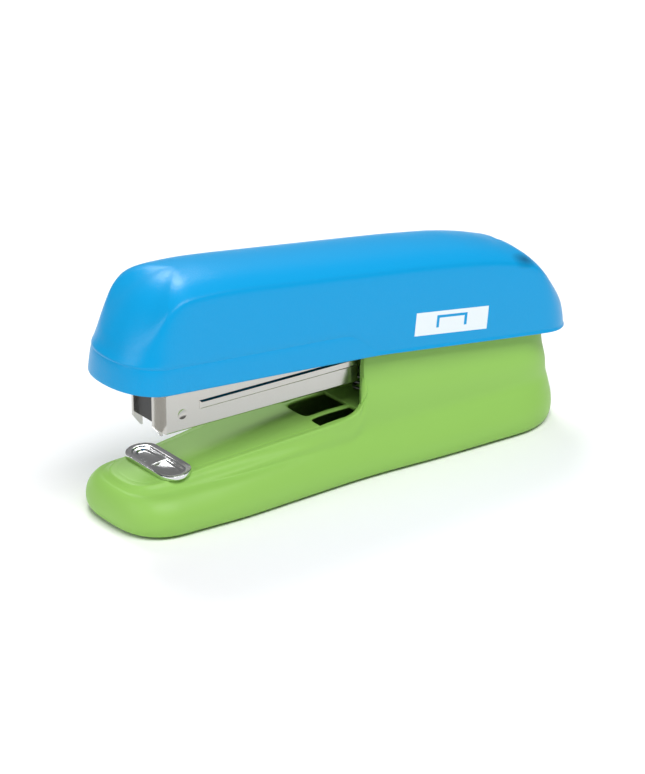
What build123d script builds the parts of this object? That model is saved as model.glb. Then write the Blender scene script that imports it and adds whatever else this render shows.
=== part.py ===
from build123d import *
import os
from math import cos, exp, radians, sin, tan

# Half-strip desk stapler. Millimetres. X runs from the nose (-) to the hinge end (+), Z is up from
# the desk, and Y = 0 is the plane of symmetry. It stands with its jaw open and nothing pressed.

# --- Driving dimensions -----------------------------------------------------------------------

LENGTH = 128.4
HALF_LENGTH = LENGTH / 2

# Hinge: one pin for the magazine and the cover.
PIN_X, PIN_Z, PIN_R = 50.0, 24.0, 1.5
RUNNING = 0.05

# Base.
FOOT_HALF = 16.0
BASE_WALL = 2.0
BASE_RIM_Z = 0.5
BASE_REAR = 61.4
DECK_Z, DECK_X, DECK_SLOPE = 11.6, -50.0, 0.0928
TOWER_X, TOWER_TOP = 0.9, 30.5
TOWER_FLOOR = 15.6
WINDOW_X0, WINDOW_X1 = -10.6, 2.0

# Cover.
COVER_HALF, COVER_WALL = 13.6, 1.5
COVER_TOP = 58.5

# Magazine, for staples with a 12.9 mm crown and 6 mm legs.
MAG_BOTTOM, MAG_TOP = 21.7, 31.2
MAG_HALF, MAG_SHEET = 7.1, 0.6
MAG_FRONT, MAG_REAR = -51.6, 1.5
RAIL_HALF, RAIL_SHEET = 5.3, 0.8
RAIL_TOP = 28.4
RAIL_FRONT = -47.9
FIN_Y, FIN_TIP, FIN_BOTTOM = 4.57, -53.4, 20.6
PUSHER_FRONT, PUSHER_LENGTH = -48.1, 11.0
ROD_Z, ROD_R, ROD_FRONT = 25.8, 0.8, -46.0
SEAT_X0, SEAT_X1 = 30.0, 33.0

# Handle plate and driver.
PLATE_SHEET, PLATE_HALF = 1.0, 8.2
BLADE_X, BLADE_SHEET, BLADE_HALF, BLADE_BOTTOM = -49.0, 0.6, 6.2, 29.2


# --- Shared helpers ---------------------------------------------------------------------------


def block(x0, x1, y0, y1, z0, z1):
    """Axis-aligned block between two corners."""
    size = Box(x1 - x0, y1 - y0, z1 - z0)
    return Pos((x0 + x1) / 2, (y0 + y1) / 2, (z0 + z1) / 2) * size


def across(points, half):
    """Prism of an X-Z polygon, from Y = -half to Y = half."""
    outline = make_face(Polyline(*[(x, 0, z) for x, z in points], close=True))
    return extrude(outline, half, dir=(0, 1, 0), both=True)


def both_sides(solid):
    """The solid and its mirror image across the plane of symmetry."""
    return [solid, mirror(solid, Plane.XZ)]


def rod_y(x, z, radius, y0, y1):
    """Cylinder along Y."""
    middle = Pos(x, (y0 + y1) / 2, z) * Rot(90, 0, 0)
    return middle * Cylinder(radius, y1 - y0)


def rod_z(x, y, radius, z0, z1):
    """Cylinder along Z."""
    return Pos(x, y, (z0 + z1) / 2) * Cylinder(radius, z1 - z0)


def deck_height(x):
    """Height of the deck, which falls gently towards the nose."""
    return DECK_Z + DECK_SLOPE * (x - DECK_X)


def plan_face(side):
    """Face of a plan outline given by one side's points, nose to tail, both on Y = 0."""
    nose_to_tail = Spline(*side, tangents=[(0, 1), (0, -1)])
    half = make_face([nose_to_tail, Line(nose_to_tail @ 1, nose_to_tail @ 0)])
    return half + mirror(half, Plane.XZ)


def outline_up(side, z0, z1):
    """Prism of a plan outline between two heights."""
    return Pos(0, 0, z0) * extrude(plan_face(side), z1 - z0)


# --- Base -------------------------------------------------------------------------------------

NOSE_STEPS, SIDE_STEPS, TAIL_STEPS = 6, 8, 6
NOSE_DEPTH, NOSE_POWER, TAIL_START = 14.2, 2.8, 44.0
FOOT_TAIL_POWER, TOWER_REAR, TOWER_TAIL_POWER = 2.0, 57.4, 2.7
TOWER_HALF = 11.4
FOOT_TOP, TOWER_LOW = 7.0, 19.0


def base_plan(wall, tail_x=BASE_REAR, tail_power=FOOT_TAIL_POWER, full=FOOT_HALF):
    """Plan points of one side of the base: blunt nose, slight waist, round tail."""
    nose_x = -HALF_LENGTH + wall
    nose_end = nose_x + NOSE_DEPTH
    tail_depth = tail_x - wall - TAIL_START

    def half(x):
        return full - wall + exp(-(((x + 41) / 15) ** 2)) - 0.9 * exp(-((x / 16) ** 2))

    side = []
    for i in range(NOSE_STEPS):
        turn = radians(90 * i / NOSE_STEPS)
        depth = NOSE_DEPTH * cos(turn) ** (2 / NOSE_POWER)
        side.append((nose_end - depth, half(nose_end) * sin(turn) ** (2 / NOSE_POWER)))
    for i in range(SIDE_STEPS):
        x = nose_end + (TAIL_START - nose_end) * i / SIDE_STEPS
        side.append((x, half(x)))
    for i in range(TAIL_STEPS):
        turn = radians(90 * i / TAIL_STEPS)
        reach = tail_depth * sin(turn) ** (2 / tail_power)
        side.append((TAIL_START + reach, half(TAIL_START) * cos(turn) ** (2 / tail_power)))
    side.append((tail_x - wall, 0))
    return side


def base_plan_body():
    """The foot's outline, drawn in at the tail towards the tower's outline."""
    foot = base_plan(0.0)
    tower = base_plan(0.0, TOWER_REAR, TOWER_TAIL_POWER, TOWER_HALF + 0.6)
    drawn_in = loft([Pos(0, 0, FOOT_TOP) * plan_face(foot), Pos(0, 0, TOWER_LOW) * plan_face(tower)])
    return outline_up(foot, 0, FOOT_TOP) + drawn_in + outline_up(tower, TOWER_LOW, 40)


def base_section(wall):
    """Cross-section of the base: rounded foot, shoulder, waist and the drawn-in tower."""
    low = [(15.4, BASE_RIM_Z), (16.8, 1.4), (17.4, 3.6)]
    waist = [(16.4, 6.4), (14.7, 9.0), (13.6, 12.0), (13.0, 16.0)]
    high = [(12.3, 19.0), (TOWER_HALF, 22.5), (10.9, 27), (10.6, 34)]
    right = [(y - wall, z) for y, z in low + waist + high]
    curve = Spline(*[(0, y, z) for y, z in right])
    rest = Polyline(curve @ 1, (0, 0, 34), (0, 0, BASE_RIM_Z), curve @ 0)
    half = extrude(make_face([curve, rest]), 70, dir=(1, 0, 0), both=True)
    return half + mirror(half, Plane.XZ)


def base_profile():
    """Side outline of the base: nose, deck, concave rise to the tower, tower top and tail."""
    rise = 5.5
    foot_x = TOWER_X - rise
    foot = (foot_x, 0, deck_height(foot_x))
    front = -HALF_LENGTH
    nose = Polyline(
        (front + 1.6, 0, BASE_RIM_Z),
        (front + 0.5, 0, 1.5),
        (front, 0, 3.6),
        (front + 0.6, 0, 7.0),
        (-60.7, 0, 10.4),
        foot,
    )
    corner = Spline(foot, (TOWER_X, 0, foot[2] + rise), tangents=[(1, 0, DECK_SLOPE), (0, 0, 1)])
    back = Spline(
        (60.0, 0, 25.5),
        (60.6, 0, 18.0),
        (62.0, 0, 10.0),
        (61.3, 0, 4.6),
        (60.6, 0, 2.4),
        (59.0, 0, BASE_RIM_Z),
    )
    top = Polyline(corner @ 1, (TOWER_X, 0, TOWER_TOP), (50.0, 0, TOWER_TOP - 4.5), back @ 0)
    floor = Line(back @ 1, nose @ 0)
    return extrude(make_face([nose, corner, top, back, floor]), 30, dir=(0, 1, 0), both=True)


outer_base = base_section(0.0) & base_plan_body() & base_profile()

# Room under the deck and the tower floor, and the pocket in the tower, open in front and on top.
ROOM_WALL, PLATE_WALL, PLATE_TOP = 3.3, 3.5, 2.3
under_deck = [
    (-HALF_LENGTH, -5),
    (-HALF_LENGTH, 6.4),
    (DECK_X, deck_height(DECK_X) - BASE_WALL),
    (-4.0, deck_height(-4.0) - BASE_WALL),
    (TOWER_X, TOWER_FLOOR - BASE_WALL),
    (53.0, TOWER_FLOOR - BASE_WALL),
    (60.5, 6.5),
    (60.5, -5),
]
inside = base_section(BASE_WALL) + block(-64, 62, -13.2, 13.2, -5, 1)
lower_room = inside & outline_up(base_plan(ROOM_WALL), -5, 40) & across(under_deck, 30)
POCKET_HALF = 9.2
POCKET_REAR = 54.4
pocket = block(TOWER_X + 2, POCKET_REAR, -POCKET_HALF, POCKET_HALF, TOWER_FLOOR, 40)
tail_corners = pocket.edges().filter_by(Axis.Z).group_by(Axis.X)[-1]
pocket = fillet(tail_corners, 3.4)
mouth = block(TOWER_X - 8, 12, -POCKET_HALF, POCKET_HALF, deck_height(0) + 0.6, 40)

base_shell = outer_base - lower_room - pocket - mouth

# Window in the deck: three slots with two ribs between them and cut front corners.
SLOT_HALF, SIDE_SLOT = 2.6, (4.4, 9.6)
for y0, y1 in ((-SLOT_HALF, SLOT_HALF), SIDE_SLOT, (-SIDE_SLOT[1], -SIDE_SLOT[0])):
    slot = block(WINDOW_X0 + 0.5, WINDOW_X1, y0, y1, TOWER_FLOOR - BASE_WALL - 3, 19)
    front_edges = slot.edges().filter_by(Axis.Z).group_by(Axis.X)[0]
    base_shell -= chamfer(front_edges, 1.6)

# Bosses under the deck for the screws of the bottom plate, and the holes for the bracket's screws.
BOSS_XY = [(-40.0, 0.0), (30.0, 0.0)]
BOSS_R, SCREW_R = 3.2, 1.2
for x, y in BOSS_XY:
    roof = min(deck_height(x), TOWER_FLOOR) - BASE_WALL / 2
    base_shell += rod_z(x, y, BOSS_R, PLATE_TOP, roof)
    base_shell -= rod_z(x, y, SCREW_R, PLATE_TOP - 1, PLATE_TOP + 6)
BRACKET_SCREW_X = [37.0, 43.0]
BRACKET_SCREW_R = 1.25
for x in BRACKET_SCREW_X:
    base_shell -= rod_z(x, 0, BRACKET_SCREW_R, 10, 20)

# Slots that the anvil's legs are clinched through.
ANVIL_X, ANVIL_HALF_Y, ANVIL_HALF_X = -49.4, 10.4, 4.05
ANVIL_SHEET, ANVIL_LEG = 1.0, (6.0, 1.0)
for sign in (-1, 1):
    y = sign * ANVIL_LEG[0]
    base_shell -= block(ANVIL_X - 2, ANVIL_X + 2, y - 0.5, y + 0.5, 6, 14)

# Bottom plate inside the rim, its screws and the four pads.
base_cover = outline_up(base_plan(PLATE_WALL), 0.7, PLATE_TOP)
for x, y in BOSS_XY:
    base_cover -= rod_z(x, y, 2.6, 0, 1.5)
    base_cover -= rod_z(x, y, SCREW_R, 0, 5)
FOOT_R, FOOT_DEPTH = 3.6, 1.3
FEET_XY = [(-48.0, 6.5), (-48.0, -6.5), (44.0, 6.5), (44.0, -6.5)]
rubber_feet = [rod_z(x, y, FOOT_R, 0, FOOT_DEPTH) for x, y in FEET_XY]
for pad in rubber_feet:
    base_cover -= pad
base_cover_screws = [
    rod_z(x, y, 2.3, 0.75, 1.5) + rod_z(x, y, SCREW_R, 1.5, PLATE_TOP + 5.5) for x, y in BOSS_XY
]

# Anvil plate: a rounded strip with a raised rim and two crimp pockets, tilted with the deck.
strip = extrude(SlotOverall(2 * ANVIL_HALF_Y, 2 * ANVIL_HALF_X), ANVIL_SHEET)
recess = Pos(0, 0, ANVIL_SHEET - 0.35) * extrude(SlotOverall(17.2, 5.0), 1)
anvil = strip - recess
for sign in (-1, 1):
    pocket_cut = Pos(sign * 3.9, 0, ANVIL_SHEET - 0.75) * extrude(SlotOverall(6.4, 2.4), 1)
    anvil -= pocket_cut
anvil = Rot(0, -5.3, 0) * Rot(0, 0, 90) * anvil
anvil_plate = Pos(ANVIL_X, 0, deck_height(ANVIL_X) + 0.02) * anvil
for sign in (-1, 1):
    y = sign * ANVIL_LEG[0]
    leg = block(ANVIL_X - 1.95, ANVIL_X + 1.95, y - 0.45, y + 0.45, 8.4, deck_height(ANVIL_X) + 0.3)
    anvil_plate += leg

# --- Hinge ------------------------------------------------------------------------------------

EAR_R = 3.6
BRACKET_EAR = (6.2, 7.0)
bracket_web = block(33.0, 47.0, -BRACKET_EAR[1], BRACKET_EAR[1], TOWER_FLOOR, TOWER_FLOOR + 0.8)
bracket_side = across(
    [
        (38.0, TOWER_FLOOR),
        (47.0, TOWER_FLOOR),
        (PIN_X + EAR_R, PIN_Z),
        (PIN_X + 2, PIN_Z + EAR_R - 0.6),
        (PIN_X - 2, PIN_Z + EAR_R - 0.6),
        (40.0, TOWER_FLOOR + 4),
    ],
    BRACKET_EAR[1],
) - block(0, 60, -BRACKET_EAR[0], BRACKET_EAR[0], 0, 40)
hinge_bracket = bracket_web + bracket_side
hinge_bracket -= rod_y(PIN_X, PIN_Z, PIN_R, -10, 10)
for x in BRACKET_SCREW_X:
    hinge_bracket -= rod_z(x, 0, BRACKET_SCREW_R, 10, 20)
bracket_screws = [
    rod_z(x, 0, 2.4, TOWER_FLOOR - BASE_WALL - 1.2, TOWER_FLOOR - BASE_WALL)
    + rod_z(x, 0, BRACKET_SCREW_R, TOWER_FLOOR - BASE_WALL, TOWER_FLOOR + 1.4)
    for x in BRACKET_SCREW_X
]

PIN_HALF, PIN_HEAD = 9.0, 0.5
hinge_pin = rod_y(PIN_X, PIN_Z, PIN_R, -PIN_HALF, PIN_HALF)
for end in both_sides(rod_y(PIN_X, PIN_Z, PIN_R + 0.7, PIN_HALF - PIN_HEAD, PIN_HALF)):
    hinge_pin += end


def coil(radius, wire, pitch, height):
    """Helical wire about the Z axis, from Z = 0 up."""
    path = Helix(pitch=pitch, height=height, radius=radius)
    start = Plane(origin=path @ 0, z_dir=path % 0)
    return sweep(start * Circle(wire), path=path, is_frenet=True)


# Compression spring under the rail, on the tower floor.
RETURN_X, RETURN_R, RETURN_WIRE = 9.0, 2.8, 0.35
return_height = MAG_BOTTOM + MAG_SHEET - TOWER_FLOOR - 2 * RETURN_WIRE - 0.1
return_spring = Pos(RETURN_X, 0, TOWER_FLOOR + RETURN_WIRE + 0.05) * coil(
    RETURN_R, RETURN_WIRE, return_height / 4, return_height
)

# Torsion spring on the pin: four turns between the rail's ears.
TORSION_R, TORSION_WIRE, TORSION_WIDTH = 2.5, 0.4, 4.0
cover_spring = Pos(PIN_X, TORSION_WIDTH / 2, PIN_Z) * Rot(90, 0, 0) * coil(
    TORSION_R, TORSION_WIRE, TORSION_WIDTH / 4, TORSION_WIDTH
)

# --- Magazine ---------------------------------------------------------------------------------

# Channel: a web and two sides with a long rib pressed outwards, and an oblique rear end.
side_outline = [
    (MAG_FRONT, MAG_BOTTOM),
    (MAG_REAR - 1.2, MAG_BOTTOM),
    (MAG_REAR - 0.3, MAG_BOTTOM + 0.3),
    (MAG_REAR, MAG_BOTTOM + 1.2),
    (MAG_REAR, 26.0),
    (MAG_REAR + 1.7, 28.1),
    (MAG_REAR + 1.7, MAG_TOP),
    (MAG_FRONT, MAG_TOP),
]
INNER_HALF = MAG_HALF - MAG_SHEET
magazine_channel = across(side_outline, MAG_HALF)
long_edges = magazine_channel.edges().filter_by(Axis.X).group_by(Axis.Z)[0]
magazine_channel = fillet(long_edges, 0.55)
magazine_channel -= block(
    MAG_FRONT + MAG_SHEET, 10, -INNER_HALF, INNER_HALF, MAG_BOTTOM + MAG_SHEET, 40
)
# Exit for the staple at the nose, and the gap between the two front flanges.
magazine_channel -= block(MAG_FRONT + MAG_SHEET, RAIL_FRONT, -INNER_HALF, INNER_HALF, 20, 40)
magazine_channel -= block(MAG_FRONT - 1, RAIL_FRONT, -FIN_Y + 0.8, FIN_Y - 0.8, 20, 40)
RIB_Z, RIB_HALF, RIB_X0, RIB_PROUD = 27.05, 1.05, -42.7, 0.45
rib_low, rib_high = RIB_Z - RIB_HALF, RIB_Z + RIB_HALF
rib = block(RIB_X0, MAG_REAR + 0.8, MAG_HALF - 0.1, MAG_HALF + RIB_PROUD, rib_low, rib_high)
rib = chamfer(rib.faces().sort_by(Axis.Y)[-1].edges(), 0.4)
DIMPLE_X, DIMPLE_Z, DIMPLE_BALL, DIMPLE_DEEP = -47.3, 25.9, 2.7, 0.3
dimple = Pos(DIMPLE_X, MAG_HALF + DIMPLE_BALL - DIMPLE_DEEP, DIMPLE_Z) * Sphere(DIMPLE_BALL)
fin = across(
    [
        (MAG_FRONT + MAG_SHEET, FIN_BOTTOM),
        (FIN_TIP + 2.0, FIN_BOTTOM),
        (FIN_TIP, FIN_BOTTOM + 2.7),
        (FIN_TIP, MAG_TOP + 2),
        (MAG_FRONT + MAG_SHEET, MAG_TOP + 2),
    ],
    FIN_Y,
) - block(-60, 0, -FIN_Y + 0.8, FIN_Y - 0.8, 0, 40)
magazine_channel += fin
for piece in both_sides(rib):
    magazine_channel += piece
for piece in both_sides(dimple):
    magazine_channel -= piece

# Rail: an upright U that the staples straddle. Its sides run back to the pin.
rail_outline = [
    (RAIL_FRONT, MAG_BOTTOM + MAG_SHEET),
    (PIN_X - 4, MAG_BOTTOM + MAG_SHEET),
    (PIN_X - 2, PIN_Z - EAR_R + 0.6),
    (PIN_X + 1.5, PIN_Z - EAR_R + 0.6),
    (PIN_X + 3, PIN_Z - 1.5),
    (PIN_X + 3, PIN_Z + 1.5),
    (PIN_X + 1.5, PIN_Z + 3),
    (PIN_X - 8, RAIL_TOP),
    (RAIL_FRONT, RAIL_TOP),
]
RAIL_WEB_END = 42.0
inner_rail = across(rail_outline, RAIL_HALF)
rail_inside = RAIL_HALF - RAIL_SHEET
rail_floor = MAG_BOTTOM + MAG_SHEET + RAIL_SHEET
inner_rail -= block(-60, 70, -rail_inside, rail_inside, rail_floor, 40)
inner_rail -= block(RAIL_WEB_END, 70, -rail_inside, rail_inside, 0, 40)
inner_rail -= rod_y(PIN_X, PIN_Z, PIN_R + RUNNING, -10, 10)

RIVET_X, RIVET_R = [-30.0, -8.0], 1.0
rail_rivets = []
for x in RIVET_X:
    shank = rod_z(x, 0, RIVET_R, MAG_BOTTOM, rail_floor)
    magazine_channel -= shank
    inner_rail -= shank
    rail_rivets.append(shank + rod_z(x, 0, RIVET_R + 0.6, rail_floor, rail_floor + 0.35))

# Black guide between the fins and behind the front flanges.
nose_guide = block(MAG_FRONT + MAG_SHEET, -50.45, -INNER_HALF, INNER_HALF, 23.8, 33.0)
nose_guide += block(-52.6, -50.45, -FIN_Y + 0.8, FIN_Y - 0.8, 23.8, 33.0)

# Rod, its seat and the spring that drives the pusher.
spring_seat = block(SEAT_X0, SEAT_X1, -rail_inside, rail_inside, rail_floor, RAIL_TOP)
along_x = Pos((ROD_FRONT + SEAT_X1) / 2, 0, ROD_Z) * Rot(0, 90, 0)
guide_rod = along_x * Cylinder(ROD_R, SEAT_X1 - ROD_FRONT)
spring_seat -= guide_rod

pusher_rear = PUSHER_FRONT + PUSHER_LENGTH
PUSHER_HALF = INNER_HALF - 0.25
pusher = block(PUSHER_FRONT, pusher_rear, -PUSHER_HALF, PUSHER_HALF, RAIL_TOP + 0.2, RAIL_TOP + 3.6)
top_edges = pusher.edges().group_by(Axis.Z)[-1]
pusher = chamfer(top_edges, 0.5)
pusher += block(
    PUSHER_FRONT, pusher_rear, -rail_inside + 0.3, rail_inside - 0.3, rail_floor + 0.5, RAIL_TOP + 0.3
)
pusher -= Pos(0, 0, ROD_Z) * Rot(0, 90, 0) * Cylinder(ROD_R + RUNNING, 200)

PUSH_WIRE, PUSH_R = 0.25, 1.5
push_length = SEAT_X0 - pusher_rear - 2 * PUSH_WIRE - 0.2
pusher_spring = Pos(pusher_rear + PUSH_WIRE + 0.1, 0, ROD_Z) * Rot(0, 90, 0) * coil(
    PUSH_R, PUSH_WIRE, push_length / 20, push_length
)

# --- Handle and cover -------------------------------------------------------------------------

# Handle plate: stepped steel web with side flanges that widen into the ears on the pin.
web_line = [(-50.5, 43.2), (-34.0, 43.2), (4.0, 38.2), (22.0, 38.2), (43.0, 34.6)]
web_under = [(x, z - PLATE_SHEET) for x, z in reversed(web_line)]
flange_under = [(x, z - 4.6) for x, z in web_line[:-1]]
handle_web = across(web_line + web_under, PLATE_HALF)
flange_outline = (
    web_line
    + [
        (PIN_X - 1, PIN_Z + EAR_R + 3),
        (PIN_X + EAR_R - 0.8, PIN_Z + 1.8),
        (PIN_X + EAR_R - 0.8, PIN_Z - 1.8),
        (PIN_X + 1.5, PIN_Z - EAR_R + 0.6),
        (PIN_X - 1.5, PIN_Z - EAR_R + 0.6),
        (PIN_X - EAR_R, PIN_Z),
        (36.0, 31.0),
    ]
    + list(reversed(flange_under))
)
FLANGE = 0.8
between_flanges = block(-70, 70, -PLATE_HALF + FLANGE, PLATE_HALF - FLANGE, 0, 60)
handle_plate = handle_web + (across(flange_outline, PLATE_HALF) - between_flanges)
handle_plate -= rod_y(PIN_X, PIN_Z, PIN_R + RUNNING, -10, 10)

blade_top = web_line[0][1] - PLATE_SHEET
driver_blade = block(BLADE_X, BLADE_X + BLADE_SHEET, -BLADE_HALF, BLADE_HALF, BLADE_BOTTOM, blade_top)
driver_blade += block(
    BLADE_X, BLADE_X + 7.5, -BLADE_HALF, BLADE_HALF, blade_top - BLADE_SHEET, blade_top
)
BLADE_RIVET_X, BLADE_RIVET_Y = -45.0, 3.4
blade_rivets = []
for y in (-BLADE_RIVET_Y, BLADE_RIVET_Y):
    shank = rod_z(BLADE_RIVET_X, y, 0.9, blade_top - BLADE_SHEET, web_line[0][1])
    handle_plate -= shank
    driver_blade -= shank
    blade_rivets.append(
        shank
        + rod_z(BLADE_RIVET_X, y, 1.5, web_line[0][1], web_line[0][1] + 0.5)
        + rod_z(BLADE_RIVET_X, y, 1.5, blade_top - BLADE_SHEET - 0.5, blade_top - BLADE_SHEET)
    )


COVER_NOSE, COVER_NOSE_POWER, COVER_TAIL = 9.5, 2.4, 12.0
COVER_DRAFT = 1.5
ARC_STEPS = 6
# The roof's facets: tilt in degrees, and the Y where each one leaves the roof at height CROWN_Z.
CROWN, CROWN_Z = [(10, 4.5), (42, 9.6)], 56.0


def cover_plan(wall):
    """Plan points of one side of the cover: blunt nose, straight side, round tail."""
    nose_x = -HALF_LENGTH + wall
    tail_x = HALF_LENGTH - wall
    half = COVER_HALF - wall
    side = []
    for i in range(ARC_STEPS):
        turn = radians(90 * i / ARC_STEPS)
        depth = COVER_NOSE * cos(turn) ** (2 / COVER_NOSE_POWER)
        side.append((nose_x + COVER_NOSE - depth, half * sin(turn) ** (2 / COVER_NOSE_POWER)))
    start, end = nose_x + COVER_NOSE, tail_x - COVER_TAIL
    for i in range(4):
        side.append((start + (end - start) * i / 4, half))
    for i in range(ARC_STEPS):
        turn = radians(90 * i / ARC_STEPS)
        side.append((end + COVER_TAIL * sin(turn), half * cos(turn)))
    side.append((tail_x, 0))
    return side


def cover_section(wall):
    """Cross-section of the cover: drafted sides and a crowned roof."""
    right = [(COVER_HALF - wall, 5), (COVER_HALF - wall, 30), (COVER_HALF - COVER_DRAFT - wall, 62)]
    points = [(0, y, z) for y, z in right] + [(0, -y, z) for y, z in reversed(right)]
    return extrude(make_face(Polyline(*points, close=True)), 70, dir=(1, 0, 0), both=True)


def cover_profile(wall, drop, half):
    """Side outline of the cover: nose, roof line and tail, down to the lower edge less a drop."""
    roof = Spline(
        (-HALF_LENGTH + wall, 0, 35.0),
        (-HALF_LENGTH + 0.4 + wall, 0, 43.0),
        (-62.0 + wall, 0, 49.0),
        (-58.0 + 0.8 * wall, 0, 53.6 - 0.6 * wall),
        (-52.0 + 0.3 * wall, 0, 56.9 - wall),
        (-44.0, 0, COVER_TOP - wall),
        (-30.7, 0, 57.5 - wall),
        (0.0, 0, 53.6 - wall),
        (34.0, 0, 48.8 - wall),
        (47.0 - 0.2 * wall, 0, 45.0 - wall),
        (56.0 - 0.5 * wall, 0, 39.6 - 0.9 * wall),
        (62.0 - 0.9 * wall, 0, 32.5 - 0.5 * wall),
        (HALF_LENGTH - wall, 0, 24.0),
    )
    lower = Polyline(
        roof @ 1,
        (HALF_LENGTH - wall, 0, 23.0 - drop),
        (3.0, 0, 30.3 - drop),
        (-HALF_LENGTH + wall, 0, 34.9 - drop),
        roof @ 0,
    )
    return extrude(make_face([roof, lower]), half, dir=(0, 1, 0), both=True)


def cover_body(wall, drop):
    """Solid cover inside a given wall, with the roof falling away in facets to each side."""
    body = cover_section(wall) & outline_up(cover_plan(wall), 0, 70) & cover_profile(wall, drop, 30)
    for tilt, leaves in CROWN:
        # Turned about the X axis and let down until it meets the level roof at the chosen Y.
        turn = radians(tilt)
        lift = CROWN_Z - CROWN_Z / cos(turn) + (leaves - wall / 2) * tan(turn)
        for sign in (-1, 1):
            body &= Pos(0, 0, lift) * Rot(sign * tilt, 0, 0) * cover_profile(wall, 30, 70)
    return body


# The room inside runs on below the lower edge, so that the cover is open underneath.
outer_cover = cover_body(0.0, 0)
inner_cover = cover_body(COVER_WALL, 20)
cover_shell = outer_cover - inner_cover

# Screw bosses from the roof down to the two level stretches of the handle plate.
COVER_BOSS = [(-37.5, web_line[0][1]), (13.0, web_line[2][1])]
cover_screws = []
for x, z in COVER_BOSS:
    cover_shell += rod_z(x, 0, 3.4, z, 60) & outer_cover
    cover_shell -= rod_z(x, 0, 1.25, z - 1, z + 6)
    handle_plate -= rod_z(x, 0, 1.25, z - 3, z + 1)
    head_z = z - PLATE_SHEET
    cover_screws.append(rod_z(x, 0, 1.25, head_z, z + 5.5) + rod_z(x, 0, 2.5, head_z - 1.1, head_z))

# --- Output -----------------------------------------------------------------------------------

parts = {
    "base_shell": base_shell,
    "base_cover": base_cover,
    "base_cover_screws": base_cover_screws,
    "rubber_feet": rubber_feet,
    "anvil_plate": anvil_plate,
    "hinge_bracket": hinge_bracket,
    "bracket_screws": bracket_screws,
    "hinge_pin": hinge_pin,
    "return_spring": return_spring,
    "cover_spring": cover_spring,
    "magazine_channel": magazine_channel,
    "inner_rail": inner_rail,
    "rail_rivets": rail_rivets,
    "nose_guide": nose_guide,
    "guide_rod": guide_rod,
    "spring_seat": spring_seat,
    "pusher": pusher,
    "pusher_spring": pusher_spring,
    "handle_plate": handle_plate,
    "driver_blade": driver_blade,
    "blade_rivets": blade_rivets,
    "cover_shell": cover_shell,
    "cover_screws": cover_screws,
}

os.makedirs("parts", exist_ok=True)
for name, shape in parts.items():
    items = shape if isinstance(shape, list) else [shape]
    solids = [solid for item in items for solid in item.solids()]
    export_step(Compound(children=solids), f"parts/{name}.step")
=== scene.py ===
import math

import bmesh
import bpy
from mathutils import Matrix, Vector


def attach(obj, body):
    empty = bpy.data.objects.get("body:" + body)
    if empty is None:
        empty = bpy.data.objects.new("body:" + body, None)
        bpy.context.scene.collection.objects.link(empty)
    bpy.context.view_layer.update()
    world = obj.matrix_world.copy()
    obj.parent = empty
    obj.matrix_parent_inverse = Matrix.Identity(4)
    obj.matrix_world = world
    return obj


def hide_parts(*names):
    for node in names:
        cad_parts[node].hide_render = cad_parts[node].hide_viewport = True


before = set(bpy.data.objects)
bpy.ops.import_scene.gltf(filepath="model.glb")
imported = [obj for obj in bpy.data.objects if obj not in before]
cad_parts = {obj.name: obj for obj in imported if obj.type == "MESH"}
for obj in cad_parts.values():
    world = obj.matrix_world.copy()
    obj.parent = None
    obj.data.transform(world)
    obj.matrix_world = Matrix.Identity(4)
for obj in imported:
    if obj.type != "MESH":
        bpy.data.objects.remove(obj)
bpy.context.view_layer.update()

# --- Studio -------------------------------------------------------------------------------------
# A sheet of white paper under the stapler, lit by three soft boxes: a large one high in front of
# the near side, one off the nose and one behind. A dim white room fills the shadows.

MM = 0.001
LOOK_AT = Vector((-3.385, 0, 19.25)) * MM
AZIMUTH, ELEVATION = math.radians(-35.636), math.radians(22.99)
CAMERA_DISTANCE, LENS_MM, SENSOR_MM = 900 * MM, 179.24, 36
ROOM_LIGHT = 0.19

back = Vector(
    (
        math.sin(AZIMUTH) * math.cos(ELEVATION),
        -math.cos(AZIMUTH) * math.cos(ELEVATION),
        math.sin(ELEVATION),
    )
)
camera = bpy.data.objects.new("camera", bpy.data.cameras.new("camera"))
camera.location = LOOK_AT + back * CAMERA_DISTANCE
camera.rotation_euler = back.to_track_quat("Z", "Y").to_euler()
camera.data.lens = LENS_MM
camera.data.sensor_width = SENSOR_MM
camera.data.clip_start = 10 * MM
bpy.context.collection.objects.link(camera)
bpy.context.scene.camera = camera


def soft_light(name, place, aim, width, depth, power):
    """Adds a white rectangular soft box at a place, facing a point. Lengths are metres."""
    lamp = bpy.data.objects.new(name, bpy.data.lights.new(name, "AREA"))
    lamp.data.shape = "RECTANGLE"
    lamp.data.size = width
    lamp.data.size_y = depth
    lamp.data.energy = power
    lamp.location = place
    lamp.rotation_euler = (Vector(place) - Vector(aim)).to_track_quat("Z", "Y").to_euler()
    bpy.context.collection.objects.link(lamp)


soft_light("overhead", (-0.05, -0.42, 0.72), (0, 0, 0.02), 0.7, 0.4, 5.9)
soft_light("front_left", (-0.85, 0.10, 0.40), (0, 0, 0.03), 0.4, 0.4, 1.8)
soft_light("behind", (0.16, 0.50, 0.62), (-0.04, 0, 0.05), 0.35, 0.25, 3.2)

world = bpy.data.worlds.new("white_room")
world.use_nodes = True
room = world.node_tree.nodes["Background"].inputs
room["Color"].default_value = (1, 1, 1, 1)
room["Strength"].default_value = ROOM_LIGHT
bpy.context.scene.world = world
bpy.context.scene.view_settings.view_transform = "Standard"


def srgb(code):
    """Linear colour of an sRGB hex value."""
    channels = [int(code[i : i + 2], 16) / 255 for i in (1, 3, 5)]
    linear = [c / 12.92 if c <= 0.04045 else ((c + 0.055) / 1.055) ** 2.4 for c in channels]
    return (*linear, 1)


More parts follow.
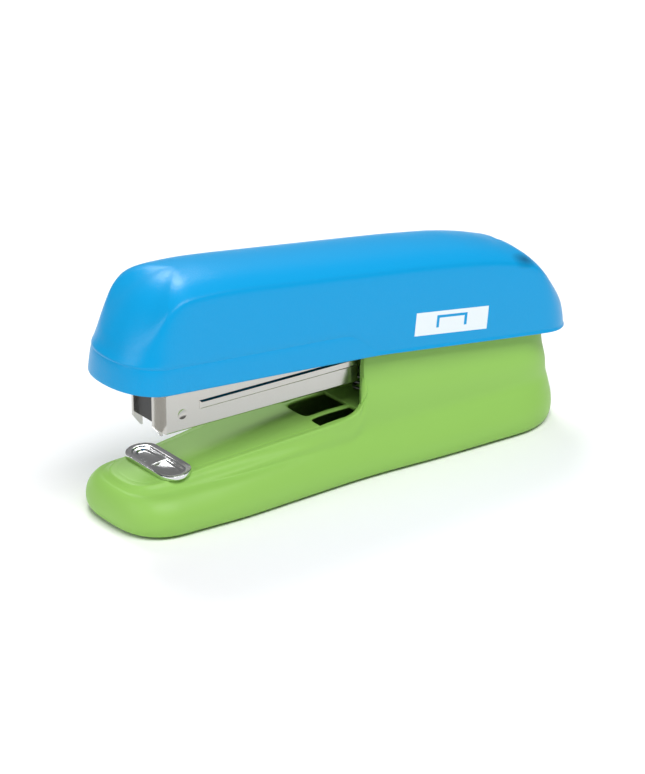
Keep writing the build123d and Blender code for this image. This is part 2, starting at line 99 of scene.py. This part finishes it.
def add(tree, kind, inputs, **settings):
    """Adds a node with its settings, and gives each input a value or a link."""
    made = tree.nodes.new(kind)
    for name, value in settings.items():
        setattr(made, name, value)
    for name, value in inputs.items():
        if isinstance(value, bpy.types.NodeSocket):
            tree.links.new(value, made.inputs[name])
        else:
            made.inputs[name].default_value = value
    return made


def new_material(name):
    """A material without nodes, and its node tree."""
    material = bpy.data.materials.new(name)
    material.use_nodes = True
    material.node_tree.nodes.clear()
    return material, material.node_tree


def finish_material(tree, shader):
    """Links a shader to a new material output."""
    add(tree, "ShaderNodeOutputMaterial", {"Surface": shader.outputs[0]})


def object_from(bm, name, material, smooth=True):
    """Makes an object from a bmesh, with one material."""
    mesh = bpy.data.meshes.new(name)
    bm.to_mesh(mesh)
    bm.free()
    for face in mesh.polygons:
        face.use_smooth = smooth
    mesh.materials.append(material)
    piece = bpy.data.objects.new(name, mesh)
    bpy.context.collection.objects.link(piece)
    return piece


floor_white, tree = new_material("paper_sweep")
# Uncoated white paper, with no gloss.
shader = add(tree, "ShaderNodeBsdfPrincipled", {"Base Color": srgb("#FFFFFF"), "Roughness": 0.9})
finish_material(tree, shader)
bm = bmesh.new()
bmesh.ops.create_grid(bm, x_segments=1, y_segments=1, size=3000 * MM)
sweep_floor = object_from(bm, "floor", floor_white, smooth=False)


# --- Cover --------------------------------------------------------------------------------------
# One thin shell of ABS, injection moulded in a tool with a fine spark-eroded texture. It is open
# underneath and is held by two screws to the steel handle plate inside.


def smoothstep(low, high, value):
    """Rises smoothly from 0 at low to 1 at high."""
    t = min(max((value - low) / (high - low), 0.0), 1.0)
    return t * t * (3 - 2 * t)


def between(points, value):
    """Value at a place along a line of (place, value) points."""
    for (x0, z0), (x1, z1) in zip(points, points[1:]):
        if value <= x1:
            return z0 + (z1 - z0) * max(value - x0, 0.0) / (x1 - x0)
    return points[-1][1]


NOSE_COLUMNS, SIDE_COLUMNS, TAIL_COLUMNS = 13, 34, 13
COLUMNS = 2 * (NOSE_COLUMNS + SIDE_COLUMNS + TAIL_COLUMNS)


def outline(nose, side, tail, half):
    """Points around a plan. The nose and the tail are superellipses given by (x, depth, power)."""
    (nose_x, nose_depth, nose_power), (tail_x, tail_depth, tail_power) = nose, tail
    right = []
    for i in range(NOSE_COLUMNS):
        turn = math.radians(90 * i / NOSE_COLUMNS)
        x = nose_x + nose_depth * (1 - math.cos(turn) ** (2 / nose_power))
        right.append((x, half(nose_x + nose_depth) * math.sin(turn) ** (2 / nose_power)))
    for i in range(SIDE_COLUMNS):
        x = side(i / SIDE_COLUMNS)
        right.append((x, half(x)))
    for i in range(TAIL_COLUMNS + 1):
        turn = math.radians(90 * i / TAIL_COLUMNS)
        x = tail_x - tail_depth * (1 - math.sin(turn) ** (2 / tail_power))
        right.append((x, half(tail_x - tail_depth) * max(math.cos(turn), 0.0) ** (2 / tail_power)))
    return right + [(x, -y) for x, y in reversed(right[1:-1])]


def ring_shell(rings):
    """Skin grown from a circle of vertices by one extrusion a ring, each ring moved to its places."""
    bm = bmesh.new()
    verts = bmesh.ops.create_circle(bm, segments=COLUMNS, radius=1.0)["verts"]
    for vert, place in zip(verts, rings[0]):
        vert.co = Vector(place) * MM
    edges = list(bm.edges)
    for ring in rings[1:]:
        grown = bmesh.ops.extrude_edge_only(bm, edges=edges)["geom"]
        edges = [g for g in grown if isinstance(g, bmesh.types.BMEdge)]
        above = {g.co.copy().freeze(): g for g in grown if isinstance(g, bmesh.types.BMVert)}
        verts = [above[v.co.copy().freeze()] for v in verts]
        for vert, place in zip(verts, ring):
            vert.co = Vector(place) * MM
    bmesh.ops.remove_doubles(bm, verts=bm.verts, dist=0.02 * MM)
    bmesh.ops.recalc_face_normals(bm, faces=bm.faces)
    return bm


COVER_ROOF = [
    (-44.0, 58.45), (-38.0, 58.2), (-30.7, 57.4), (0.0, 53.4), (20.0, 50.8), (34.0, 48.6),
    (42.0, 46.7), (47.0, 45.0),
]
COVER_EDGE = [(-64.2, 34.98), (3.0, 30.12), (64.2, 22.47)]
COVER_NOSE, COVER_TAIL, COVER_HALF = (-64.2, 9.5, 2.15), (64.15, 12.0, 2.2), 13.6
SIDE_FROM, SIDE_LONG = -54.7, 106.9
NOSE_TURN, TAIL_TURN = (-49.0, -64.2), (46.0, 63.8)
cover_plan = outline(COVER_NOSE, lambda t: SIDE_FROM + SIDE_LONG * t, COVER_TAIL, lambda x: COVER_HALF)

# How far in and how far up each ring is: on the side, at the nose and at the tail. Both are shares
# of the way from the lower edge to the ridge of the roof. A ring of None carries the moulded line.
COVER_RINGS = [
    (0.000, 0.000, 0.000, 0.000, 0.000, 0.000),
    (0.002, 0.015, 0.000, 0.015, 0.000, 0.015),
    None,
    None,
    None,
    (0.034, 0.450, 0.088, 0.330, 0.040, 0.230),
    (0.058, 0.690, 0.140, 0.430, 0.105, 0.340),
    (0.072, 0.795, 0.185, 0.490, 0.152, 0.405),
    (0.080, 0.842, 0.225, 0.545, 0.195, 0.455),
    (0.098, 0.876, 0.275, 0.605, 0.242, 0.510),
    (0.150, 0.897, 0.345, 0.685, 0.312, 0.590),
    (0.230, 0.922, 0.430, 0.770, 0.410, 0.680),
    (0.370, 0.958, 0.545, 0.860, 0.535, 0.780),
    (0.570, 0.984, 0.690, 0.938, 0.705, 0.890),
    (0.800, 0.997, 0.855, 0.989, 0.860, 0.963),
    (0.930, 0.9996, 0.955, 0.9988, 0.955, 0.996),
    (1.000, 1.000, 1.000, 1.000, 1.000, 1.000),
]

# The moulded line is a shallow groove. It runs level with the edge from the nose and turns down
# behind the jaw.
LINE_UP, LINE_END_UP, LINE_WIDTH, LINE_DEEP, LINE_END = 6.2, 1.2, 0.35, 0.28, (-5.0, 3.0)
LINE_RING, LINE_SIDE_IN, LINE_NOSE_IN = 3, 0.016, 0.020


def cover_ring(number):
    """Places of one ring of the cover."""
    places = []
    for x, y in cover_plan:
        nose = smoothstep(*NOSE_TURN, x)
        tail = smoothstep(*TAIL_TURN, x)
        ridge_x = min(max(x, COVER_ROOF[0][0]), COVER_ROOF[-1][0])
        low, top = between(COVER_EDGE, x), between(COVER_ROOF, ridge_x)
        if COVER_RINGS[number]:
            side_in, side_up, nose_in, nose_up, tail_in, tail_up = COVER_RINGS[number]
            inward = side_in + (nose_in - side_in) * nose + (tail_in - side_in) * tail
            z = low + (top - low) * (side_up + (nose_up - side_up) * nose + (tail_up - side_up) * tail)
        else:
            fade = 1 - smoothstep(*LINE_END, x)
            z = low + LINE_END_UP + (LINE_UP - LINE_END_UP) * fade + (number - LINE_RING) * LINE_WIDTH
            inward = LINE_SIDE_IN + LINE_NOSE_IN * nose
            if number == LINE_RING:
                inward += LINE_DEEP / COVER_HALF * fade
        places.append((x + (ridge_x - x) * inward, y * (1 - inward), z))
    return places


def box_mask(tree, place, centre, size, turn):
    """Value of 1 inside a box given by its centre, its size in millimetres and its turn about Y."""
    inside = add(
        tree,
        "ShaderNodeMapping",
        {
            "Vector": place,
            "Location": Vector(centre) * MM,
            "Rotation": (0, math.radians(turn), 0),
            "Scale": Vector(size) * MM / 2,
        },
        vector_type="TEXTURE",
    )
    size_node = add(tree, "ShaderNodeVectorMath", {0: inside.outputs[0]}, operation="ABSOLUTE")
    parts = add(tree, "ShaderNodeSeparateXYZ", {"Vector": size_node.outputs[0]})
    first = add(tree, "ShaderNodeMath", {0: parts.outputs["X"], 1: parts.outputs["Y"]}, operation="MAXIMUM")
    largest = add(tree, "ShaderNodeMath", {0: first.outputs[0], 1: parts.outputs["Z"]}, operation="MAXIMUM")
    return add(tree, "ShaderNodeMath", {0: largest.outputs[0], 1: 1.0}, operation="LESS_THAN").outputs[0]


blue_abs, tree = new_material("blue_textured_abs")
# Spark-eroded ABS: a matte skin of grains 0.45 mm wide, coarser than the real ones so that they
# show, which break the highlight. On the near side there is a white pad print of a staple in a
# panel. Near the crease at the rear of the roof, a soft darker blue patch is painted shade that stands in
# for a shallow dimple.
place = add(tree, "ShaderNodeTexCoord", {}).outputs["Object"]
PRINT_TURN = 8.0
panel = box_mask(tree, place, (24.3, -14, 33.7), (21.4, 8, 5.6), PRINT_TURN)
staple_outside = box_mask(tree, place, (24.3, -14, 34.0), (9.0, 8, 3.0), PRINT_TURN)
staple_inside = box_mask(tree, place, (24.2, -14, 33.4), (7.4, 8, 2.9), PRINT_TURN)
staple = add(
    tree, "ShaderNodeMath", {0: staple_outside, 1: staple_inside}, operation="SUBTRACT", use_clamp=True
)
ink = add(tree, "ShaderNodeMath", {0: panel, 1: staple.outputs[0]}, operation="SUBTRACT", use_clamp=True)
grain = add(
    tree, "ShaderNodeTexNoise", {"Vector": place, "Scale": 1 / (0.45 * MM), "Detail": 3.0, "Roughness": 0.6}
)
bump = add(
    tree, "ShaderNodeBump", {"Height": grain.outputs["Fac"], "Strength": 0.6, "Distance": 0.08 * MM}
)
# Painted shade: a soft patch of darker blue near the rear crease of the roof, standing in for the shade of
# a shallow dimple that is not modelled.
painted_shade_place = add(
    tree,
    "ShaderNodeMapping",
    {
        "Vector": place,
        "Location": Vector((47.6, -10.6, 43.0)) * MM,
        "Scale": Vector((5.0, 3.0, 2.4)) * MM,
    },
    vector_type="TEXTURE",
)
painted_hollow_shade = add(tree, "ShaderNodeTexGradient", {"Vector": painted_shade_place.outputs[0]}, gradient_type="SPHERICAL")
blue_and_painted_shade = add(
    tree,
    "ShaderNodeMix",
    {"Factor": painted_hollow_shade.outputs["Fac"], "A": srgb("#009CDA"), "B": srgb("#005E8A")},
    data_type="RGBA",
)
colour = add(
    tree,
    "ShaderNodeMix",
    {"Factor": ink.outputs[0], "A": blue_and_painted_shade.outputs["Result"], "B": srgb("#EAF3F8")},
    data_type="RGBA",
)
shader = add(
    tree,
    "ShaderNodeBsdfPrincipled",
    {
        "Base Color": colour.outputs["Result"],
        "Roughness": 0.33,
        "IOR": 1.53,
        "Specular IOR Level": 0.25,
        "Normal": bump.outputs["Normal"],
    },
)
finish_material(tree, shader)

COVER_WALL = 1.5
bm = ring_shell([cover_ring(number) for number in range(len(COVER_RINGS))])
cover = object_from(bm, "cover", blue_abs)
wall = cover.modifiers.new("wall", "SOLIDIFY")
wall.thickness = COVER_WALL * MM
wall.offset = -1
smooth = cover.modifiers.new("smooth", "SUBSURF")
smooth.levels = 2
smooth.render_levels = 2
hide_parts("cover_shell")
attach(cover, "cover")

# --- Base ---------------------------------------------------------------------------------------
# One deep ABS moulding with a satin skin: a low foot with a sloping deck in front and a hollow
# tower behind, open in front and on top for the magazine. Three slots in the deck, in front of
# the tower, leave two ribs between them.


DECK_X, DECK_Z, DECK_SLOPE = -50.0, 11.6, 0.0928
FOOT_HALF = 16.0
SWELL_X, SWELL_REACH, SWELL_OUT = -41.0, 15.0, 1.0
WAIST_REACH, WAIST_IN = 16.0, 0.9


def deck(x):
    """Height of the deck's middle."""
    return DECK_Z + DECK_SLOPE * (x - DECK_X)


def foot_half(x):
    """Half width of the foot: widest near the nose, with a slight waist."""
    swell = SWELL_OUT * math.exp(-(((x - SWELL_X) / SWELL_REACH) ** 2))
    return FOOT_HALF + swell - WAIST_IN * math.exp(-((x / WAIST_REACH) ** 2))


# Half width of the rim, which is the border of the deck in front and of the tower's top behind.
RIM_HALF = [
    (-60.3, 8.6), (-50.0, 9.0), (-25.0, 10.8), (-10.0, 12.4), (-4.0, 12.0), (1.0, 10.4),
    (9.0, 10.9), (64.0, 10.9),
]
RISE_FROM, RISE_TO, RISE_FOOT, RISE_R = -6.0, 3.0, -4.6, 5.5
TOWER_X, TOWER_TOP, TOWER_FALL, TOWER_CORNER, TOWER_LIP = 0.9, 30.5, 4.5, 1.2, 0.03
FALL_FROM, FALL_TO = -17.0, 58.0
CURVE_SHARE, UPRIGHT_SHARE = 0.5, 0.85
SHOULDER_Z, POCKET_FLOOR, BASE_WALL = 9.0, 15.6, 0.9


def rim_point(x):
    """Where a column of the base meets the rim: deck, concave rise, upright front edge, tower top."""
    if x < RISE_FROM:
        px = DECK_X + (x - DECK_X) * (RISE_FOOT - DECK_X) / (RISE_FROM - DECK_X) if x > DECK_X else x
        return px, deck(px)
    if x > RISE_TO:
        return x, TOWER_TOP - TOWER_FALL * smoothstep(FALL_FROM, FALL_TO, x)
    along = (x - RISE_FROM) / (RISE_TO - RISE_FROM)
    foot_z = deck(RISE_FOOT)
    corner_z = TOWER_TOP - TOWER_CORNER
    if along < CURVE_SHARE:
        turn = math.radians(90 * along / CURVE_SHARE)
        return RISE_FOOT + RISE_R * math.sin(turn), foot_z + RISE_R * (1 - math.cos(turn))
    if along < UPRIGHT_SHARE:
        share = (along - CURVE_SHARE) / (UPRIGHT_SHARE - CURVE_SHARE)
        return TOWER_X, foot_z + RISE_R + share * (corner_z - foot_z - RISE_R)
    share = (along - UPRIGHT_SHARE) / (1 - UPRIGHT_SHARE)
    return TOWER_X + (RISE_TO - TOWER_X) * share, corner_z + TOWER_CORNER * share - TOWER_LIP


# Shares of a side's columns on the deck and on the rise, and where the side ends at the rear.
DECK_SHARE, RISE_SHARE, SIDE_END = 0.42, 0.30, 44.0


def base_columns(t):
    """X of a side column: close together where the tower rises."""
    if t < DECK_SHARE:
        return DECK_X + (RISE_FROM - DECK_X) * t / DECK_SHARE
    t -= DECK_SHARE
    if t < RISE_SHARE:
        return RISE_FROM + (RISE_TO - RISE_FROM) * t / RISE_SHARE
    return RISE_TO + (SIDE_END - RISE_TO) * (t - RISE_SHARE) / (1 - DECK_SHARE - RISE_SHARE)


NOSE_POWER, FOOT_TAIL_POWER, NOSE_WIDENS = 2.8, 2.0, (-58.0, -28.0)


def base_ring(nose_x, nose_half, tail_x, tail_power, side_in, narrow, up, lower=0.0, floor=False):
    """Places of one ring: narrow and up are shares of the way from the shoulder to the rim."""

    def half(x):
        wide = (foot_half(x) - side_in) * (1 - narrow) + (between(RIM_HALF, x) - lower) * narrow
        return nose_half + (wide - nose_half) * smoothstep(*NOSE_WIDENS, x)

    nose = (nose_x, DECK_X - nose_x, NOSE_POWER)
    tail = (tail_x, tail_x - SIDE_END, tail_power)
    places = []
    for x, y in outline(nose, base_columns, tail, half):
        rim_x, rim_z = rim_point(x)
        px = x + (rim_x - x) * up
        z = min(deck(px), POCKET_FLOOR) if floor else SHOULDER_Z + (rim_z - SHOULDER_Z) * up
        places.append((px, y, z))
    return places


def foot_ring(nose_x, nose_half, tail_x, side_in, level):
    """Places of a ring of the foot, at one level."""
    ring = base_ring(nose_x, nose_half, tail_x, FOOT_TAIL_POWER, side_in, 0.0, 0.0)
    return [(x, y, level) for x, y, _ in ring]


base_rings = [
    foot_ring(-61.6, 13.4, 58.0, 2.4, 0.5),
    foot_ring(-63.2, 15.4, 60.0, 0.9, 0.5),
    foot_ring(-63.9, 16.2, 60.9, 0.25, 1.5),
    foot_ring(-64.2, 16.5, 61.3, 0.0, 3.6),
    foot_ring(-63.8, 15.9, 61.3, 0.5, 6.0),
    foot_ring(-62.9, 14.2, 61.0, 1.5, 8.0),
    base_ring(-62.0, 12.6, 60.6, 2.1, 2.3, 0.00, 0.03),
    base_ring(-61.5, 11.3, 60.0, 2.2, 2.3, 0.44, 0.14),
    base_ring(-61.2, 10.6, 59.8, 2.3, 2.3, 0.47, 0.26),
    base_ring(-61.0, 10.1, 59.3, 2.4, 2.3, 0.48, 0.38),
    base_ring(-60.8, 9.7, 58.6, 2.5, 2.3, 0.60, 0.50),
    base_ring(-60.6, 9.4, 58.1, 2.6, 2.3, 0.84, 0.62),
    base_ring(-60.4, 9.1, 57.9, 2.7, 2.3, 0.97, 0.80),
    base_ring(-60.1, 8.8, 57.7, 2.7, 2.3, 1.00, 0.97),
    base_ring(-59.7, 8.5, 57.0, 2.7, 2.3, 1.00, 1.00, 0.4),
    base_ring(-58.9, 7.9, 56.0, 2.7, 2.3, 1.00, 1.00, 1.3),
    base_ring(-58.6, 7.6, 55.7, 2.7, 2.3, 1.00, 0.97, 1.6),
    base_ring(-58.2, 7.3, 55.5, 2.7, 2.3, 1.00, 0.97, 1.75, floor=True),
    base_ring(-57.5, 6.8, 55.0, 2.7, 2.3, 1.00, 0.97, 2.2, floor=True),
]
SEAM_FROM = -48.0
seam = [min(max(x, SEAM_FROM), SIDE_END) for x, _, _ in base_rings[-1]]
base_rings.append([(x, 0.0, min(deck(x), POCKET_FLOOR)) for x in seam])
bm = ring_shell(base_rings)

# The deck's faces are cut along the edges of the slots, and the pieces inside them taken out.
SLOT_X, SLOT_Y = (-11.4, 0.5), [(-4.0, 4.0), (5.7, 10.4), (-10.4, -5.7)]
CUT_X, CUT_HALF = (-20, 8), 10.7


def deck_faces():
    """Faces of the deck around the slots."""
    near = []
    for face in bm.faces:
        x, y, z = face.calc_center_median() / MM
        if CUT_X[0] < x < CUT_X[1] and abs(y) < CUT_HALF and z < POCKET_FLOOR + 0.1:
            near.append(face)
    return near


cuts = [((x, 0, 0), (1, 0, 0)) for x in SLOT_X]
cuts += [((0, y, 0), (0, 1, 0)) for pair in SLOT_Y for y in pair]
for place, direction in cuts:
    faces = deck_faces()
    around = faces + list({e for f in faces for e in f.edges}) + list({v for f in faces for v in f.verts})
    bmesh.ops.bisect_plane(bm, geom=around, plane_co=Vector(place) * MM, plane_no=direction)
taken = []
for face in deck_faces():
    x, y, z = face.calc_center_median() / MM
    if SLOT_X[0] < x < SLOT_X[1] and any(low < y < high for low, high in SLOT_Y):
        taken.append(face)
bmesh.ops.delete(bm, geom=taken, context="FACES")

green_abs, tree = new_material("green_satin_abs")
# Satin ABS, a little rubbed: a fine even grain that spreads the highlight along the rounded foot.
place = add(tree, "ShaderNodeTexCoord", {}).outputs["Object"]
grain = add(
    tree, "ShaderNodeTexNoise", {"Vector": place, "Scale": 1 / (0.6 * MM), "Detail": 2.0, "Roughness": 0.5}
)
bump = add(
    tree, "ShaderNodeBump", {"Height": grain.outputs["Fac"], "Strength": 0.15, "Distance": 0.04 * MM}
)
shader = add(
    tree,
    "ShaderNodeBsdfPrincipled",
    {
        "Base Color": srgb("#94C65E"),
        "Roughness": 0.42,
        "IOR": 1.53,
        "Specular IOR Level": 0.25,
        "Normal": bump.outputs["Normal"],
    },
)
finish_material(tree, shader)

base = object_from(bm, "base", green_abs)
wall = base.modifiers.new("wall", "SOLIDIFY")
wall.thickness = BASE_WALL * MM
wall.offset = -1
smooth = base.modifiers.new("smooth", "SUBSURF")
smooth.levels = 2
smooth.render_levels = 2
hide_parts("base_shell")
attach(base, "base")

# --- Anvil plate --------------------------------------------------------------------------------
# A stamped, chrome-plated strip with a rounded rim and two crimp pockets that fold the legs of a
# staple. It lies on the sloping deck, and its legs are clinched through two slots in it.

chrome, tree = new_material("polished_chrome")
# Bright chrome: a mirror with a faint unevenness from polishing.
place = add(tree, "ShaderNodeTexCoord", {}).outputs["Object"]
polish = add(tree, "ShaderNodeTexNoise", {"Vector": place, "Scale": 1 / (1.5 * MM), "Detail": 2.0})
bump = add(
    tree, "ShaderNodeBump", {"Height": polish.outputs["Fac"], "Strength": 0.1, "Distance": 0.05 * MM}
)
shader = add(
    tree,
    "ShaderNodeBsdfPrincipled",
    {
        "Base Color": srgb("#E4E5E6"),
        "Metallic": 1.0,
        "Roughness": 0.12,
        "Normal": bump.outputs["Normal"],
    },
)
finish_material(tree, shader)

ANVIL_X, ANVIL_R, ANVIL_REACH, ANVIL_THICK, ANVIL_TILT = -49.4, 4.05, 6.35, 1.0, -5.3
ANVIL_SEGMENTS, ANVIL_GAP, ANVIL_EDGE_R = 48, 0.02, 0.12
RIM_WIDTH, RIM_SLOPE, RIM_DEEP = 1.45, 0.2, 0.35
POCKET_MARGIN, POCKET_SLOPE, POCKET_DEEP = 0.75, 0.35, 0.45
LEG_SIZE, LEG_PLACE = (3.9, 0.9, 3.0), (6.0, -1.45)

bm = bmesh.new()
half_step = Matrix.Rotation(math.pi / ANVIL_SEGMENTS, 4, "Z")
bmesh.ops.create_circle(
    bm, cap_ends=True, segments=ANVIL_SEGMENTS, radius=ANVIL_R * MM, matrix=half_step
)
for sign in (-1, 1):
    end = [v for v in bm.verts if v.co.y * sign > 0]
    bmesh.ops.translate(bm, verts=end, vec=(0, sign * ANVIL_REACH * MM, 0))
grown = bmesh.ops.extrude_face_region(bm, geom=bm.faces[:], use_keep_orig=True)["geom"]
raised = [g for g in grown if isinstance(g, bmesh.types.BMVert)]
bmesh.ops.translate(bm, verts=raised, vec=(0, 0, ANVIL_THICK * MM))

# The middle is pressed down inside the rim, then each half of it gets a pocket.
top = max(bm.faces, key=lambda face: face.calc_center_median().z)
bmesh.ops.inset_individual(bm, faces=[top], thickness=RIM_WIDTH * MM, depth=0)
bmesh.ops.inset_individual(bm, faces=[top], thickness=RIM_SLOPE * MM, depth=-RIM_DEEP * MM)
around = [top] + list(top.edges) + list(top.verts)
bmesh.ops.bisect_plane(bm, geom=around, plane_co=(0, 0, 0), plane_no=(0, 1, 0))
floor_z = (ANVIL_THICK - RIM_DEEP) * MM
halves = [f for f in bm.faces if abs(f.calc_center_median().z - floor_z) < 0.01 * MM]
bmesh.ops.inset_individual(bm, faces=halves, thickness=POCKET_MARGIN * MM, depth=0)
bmesh.ops.inset_individual(bm, faces=halves, thickness=POCKET_SLOPE * MM, depth=-POCKET_DEEP * MM)
for sign in (-1, 1):
    leg = bmesh.ops.create_cube(bm, size=1.0)["verts"]
    bmesh.ops.scale(bm, verts=leg, vec=Vector(LEG_SIZE) * MM)
    bmesh.ops.translate(bm, verts=leg, vec=Vector((0, sign * LEG_PLACE[0], LEG_PLACE[1])) * MM)
tilt = Matrix.Rotation(math.radians(ANVIL_TILT), 3, "Y")
bmesh.ops.rotate(bm, verts=bm.verts, matrix=tilt)
seat = Vector((ANVIL_X, 0, deck(ANVIL_X) + ANVIL_GAP)) * MM
bmesh.ops.translate(bm, verts=bm.verts, vec=seat)
bmesh.ops.recalc_face_normals(bm, faces=bm.faces)

anvil = object_from(bm, "anvil", chrome)
rounding = anvil.modifiers.new("rounding", "BEVEL")
rounding.width = ANVIL_EDGE_R * MM
rounding.segments = 3
rounding.limit_method = "ANGLE"
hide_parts("anvil_plate")
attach(anvil, "base")


# --- Magazine channel ---------------------------------------------------------------------------
# The open steel channel that holds the staples: one bent sheet, bright nickel plated, with a long
# pressed rib and a round dimple on each side and two fins at the nose. The rail is riveted in it.


def fine_finish(name, colour, roughness, metallic, grain_mm, strength):
    """A material with one colour and a fine uneven surface, its grain given in millimetres."""
    material, tree = new_material(name)
    place = add(tree, "ShaderNodeTexCoord", {})
    grain = add(
        tree,
        "ShaderNodeTexNoise",
        {"Vector": place.outputs["Object"], "Scale": 1 / (grain_mm * MM), "Detail": 2.0},
    )
    bump = add(
        tree,
        "ShaderNodeBump",
        {"Height": grain.outputs["Fac"], "Strength": strength, "Distance": 0.02 * MM},
    )
    shader = add(
        tree,
        "ShaderNodeBsdfPrincipled",
        {
            "Base Color": srgb(colour),
            "Roughness": roughness,
            "Metallic": metallic,
            "Normal": bump.outputs["Normal"],
        },
    )
    finish_material(tree, shader)
    return material


def dress(finish, *names):
    """Gives CAD pieces their material."""
    for name in names:
        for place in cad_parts[name].material_slots:
            place.material = finish


# Bright nickel: a clean, slightly warm mirror, softened by the drawing marks of the sheet.
nickel = fine_finish("bright_nickel_plate", "#BDBBB6", 0.2, 1.0, 0.8, 0.1)
dress(nickel, "magazine_channel")


# --- Nose guide ---------------------------------------------------------------------------------
# A black block of moulded acetal, held between the two fins of the channel, where the driver blade
# comes down.

# Moulded acetal: black with a soft wax-like gloss.
black_acetal = fine_finish("black_acetal", "#121212", 0.4, 0.0, 0.5, 0.2)
dress(black_acetal, "nose_guide")


# --- Inner rail and its rivets ------------------------------------------------------------------
# A narrow channel that the staples ride on, riveted into the magazine channel. It runs back to two
# ears on the hinge pin. Zinc-plated sheet steel.

# Zinc plate: greyer and softer than nickel, with a fine crystalline grain.
zinc = fine_finish("zinc_plated_steel", "#A9ACAE", 0.35, 1.0, 0.6, 0.2)
dress(zinc, "inner_rail", "rail_rivets")


# --- Pusher, its rod and its spring -------------------------------------------------------------
# A black acetal follower slides on a steel rod and is pressed forward by a long wire spring. The
# rear end of the rod is held by an acetal seat.

# Wire and strip hardened and left oiled: dark grey, with a clear highlight along each turn.
spring_steel = fine_finish("oiled_spring_steel", "#77787A", 0.3, 1.0, 0.6, 0.1)
dress(black_acetal, "pusher", "spring_seat")
dress(zinc, "guide_rod")
dress(spring_steel, "pusher_spring")


# --- Handle plate and driver blade --------------------------------------------------------------
# The steel lever inside the cover, held to it by two screws and turning on the hinge pin. The
# hardened blade that shears a staple off the strip is riveted to its front end.

dress(zinc, "handle_plate", "cover_screws", "blade_rivets")
dress(spring_steel, "driver_blade")


# --- Hinge --------------------------------------------------------------------------------------
# A steel bracket screwed to the floor of the tower carries the pin that the rail and the handle
# plate turn on.

dress(zinc, "hinge_bracket", "hinge_pin", "bracket_screws")


# --- Lifting springs ----------------------------------------------------------------------------
# A torsion spring round the hinge pin lifts the cover off the magazine, and a short coil spring
# under the rail lifts the magazine off the deck. Both are bent from spring wire.

dress(spring_steel, "cover_spring", "return_spring")


# --- Underside ----------------------------------------------------------------------------------
# A black plate closes the base from below, held by screws, with four soft pads that keep the
# stapler from sliding.

# Moulded rubber: nearly black and almost without gloss.
rubber = fine_finish("black_rubber", "#151515", 0.8, 0.0, 0.4, 0.4)
dress(black_acetal, "base_cover")
dress(zinc, "base_cover_screws")
dress(rubber, "rubber_feet")
